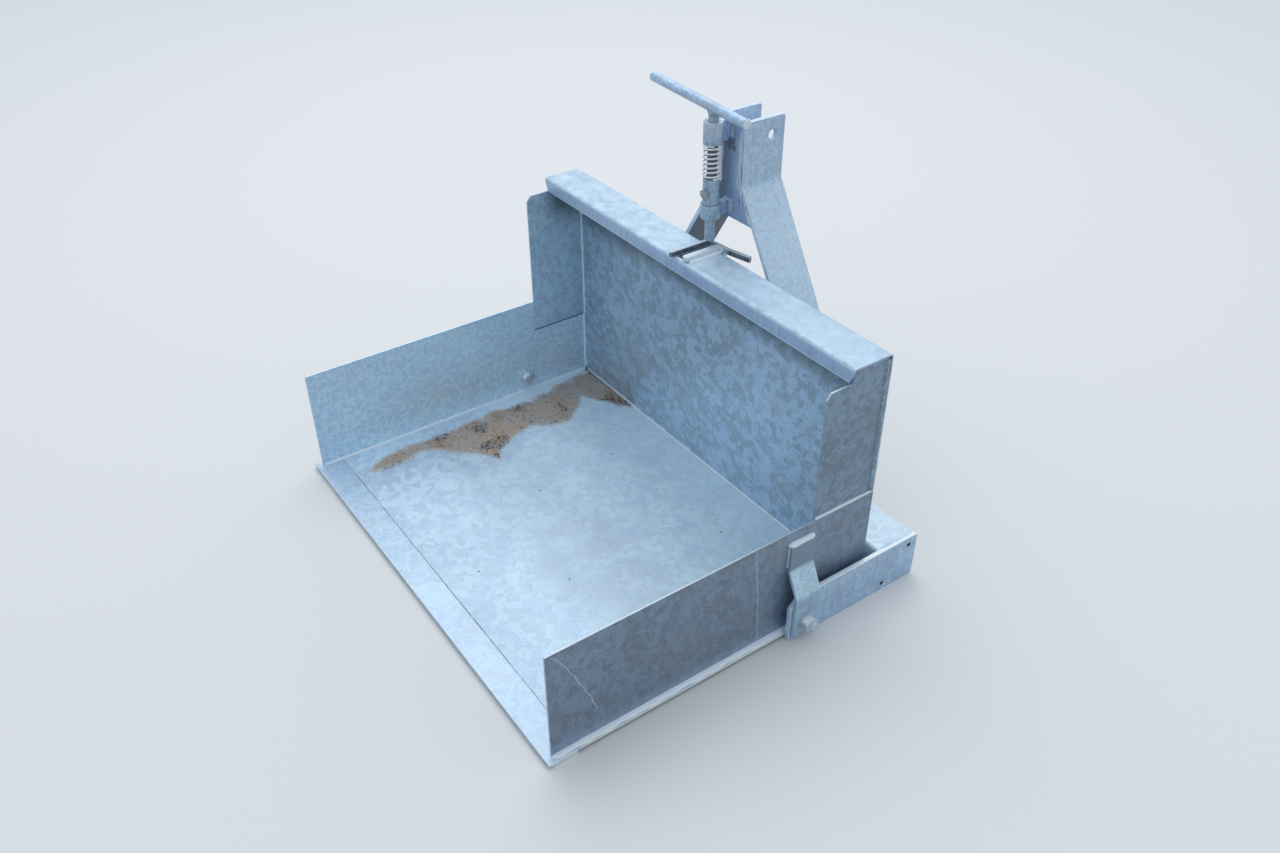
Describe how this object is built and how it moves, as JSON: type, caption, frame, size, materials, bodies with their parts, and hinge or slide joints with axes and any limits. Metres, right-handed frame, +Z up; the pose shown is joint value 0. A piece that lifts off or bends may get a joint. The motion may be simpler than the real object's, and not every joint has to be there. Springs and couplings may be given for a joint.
{
  "type": "tipping tractor transport bucket",
  "caption": "Galvanised tipping transport bucket for a tractor's three-point hitch, with hinged bucket, A-frame and spring-loaded latch with a T-handle.",
  "frame": {"origin": "on the ground under the middle of the part's bounding box", "axes": "+X to the right seen from the bucket's open front, across the blade; +Y back to the tractor; +Z up"},
  "size_m": [1.12, 0.91, 0.8633],
  "materials": {
    "galvanised_sheet": "hot-dip galvanised sheet, fine spangle, satin",
    "galvanised_bar": "hot-dip galvanised bar and tube, matt to satin",
    "zinc_fasteners": "bright zinc plated",
    "spring_wire": "bright zinc plated spring wire"
  },
  "bodies": {
    "hitch_frame": {"cross_member": "galvanised_bar", "side_arm_right": "galvanised_bar", "side_arm_left": "galvanised_bar", "a_frame_leg_right": "galvanised_bar", "a_frame_leg_left": "galvanised_bar", "web_plate": "galvanised_bar", "upper_guide_tube": "galvanised_bar", "upper_standoff": "galvanised_bar", "lower_guide_cup": "galvanised_bar", "lower_standoff": "galvanised_bar", "link_ear_right_inner": "galvanised_bar", "link_ear_right_outer": "galvanised_bar", "link_ear_left_inner": "galvanised_bar", "link_ear_left_outer": "galvanised_bar"},
    "bucket": {"floor_plate": "galvanised_sheet", "cutting_blade": "galvanised_bar", "side_plate_right": "galvanised_sheet", "side_plate_left": "galvanised_sheet", "back_sheet": "galvanised_sheet", "cheek_right": "galvanised_sheet", "cheek_left": "galvanised_sheet", "hinge_lug_right": "galvanised_bar", "hinge_lug_left": "galvanised_bar", "pivot_bolts": "zinc_fasteners", "pivot_sleeves": "galvanised_bar", "pivot_washers": "zinc_fasteners", "pivot_nuts": "zinc_fasteners", "keeper_left_bar": "galvanised_bar", "keeper_right_bar": "galvanised_bar", "keeper_stop_bar": "galvanised_bar"},
    "latch": {"latch_rod": "galvanised_bar", "t_handle": "galvanised_bar", "collar": "galvanised_bar", "collar_bolt": "zinc_fasteners", "latch_spring": "spring_wire"}
  },
  "joints": [
    {"name": "bucket_tip", "type": "hinge", "parent": "hitch_frame", "child": "bucket", "pos_m": [0, 0.103, 0.046], "axis": [1, 0, 0], "range_deg": [0, 80]},
    {"name": "latch_slide", "type": "slide", "parent": "hitch_frame", "child": "latch", "axis": [0, 0, 1], "range_m": [-0.013, 0.03], "stiffness_N_per_m": 3000, "springref_m": -0.025, "deforming": ["latch_spring"]}
  ]
}
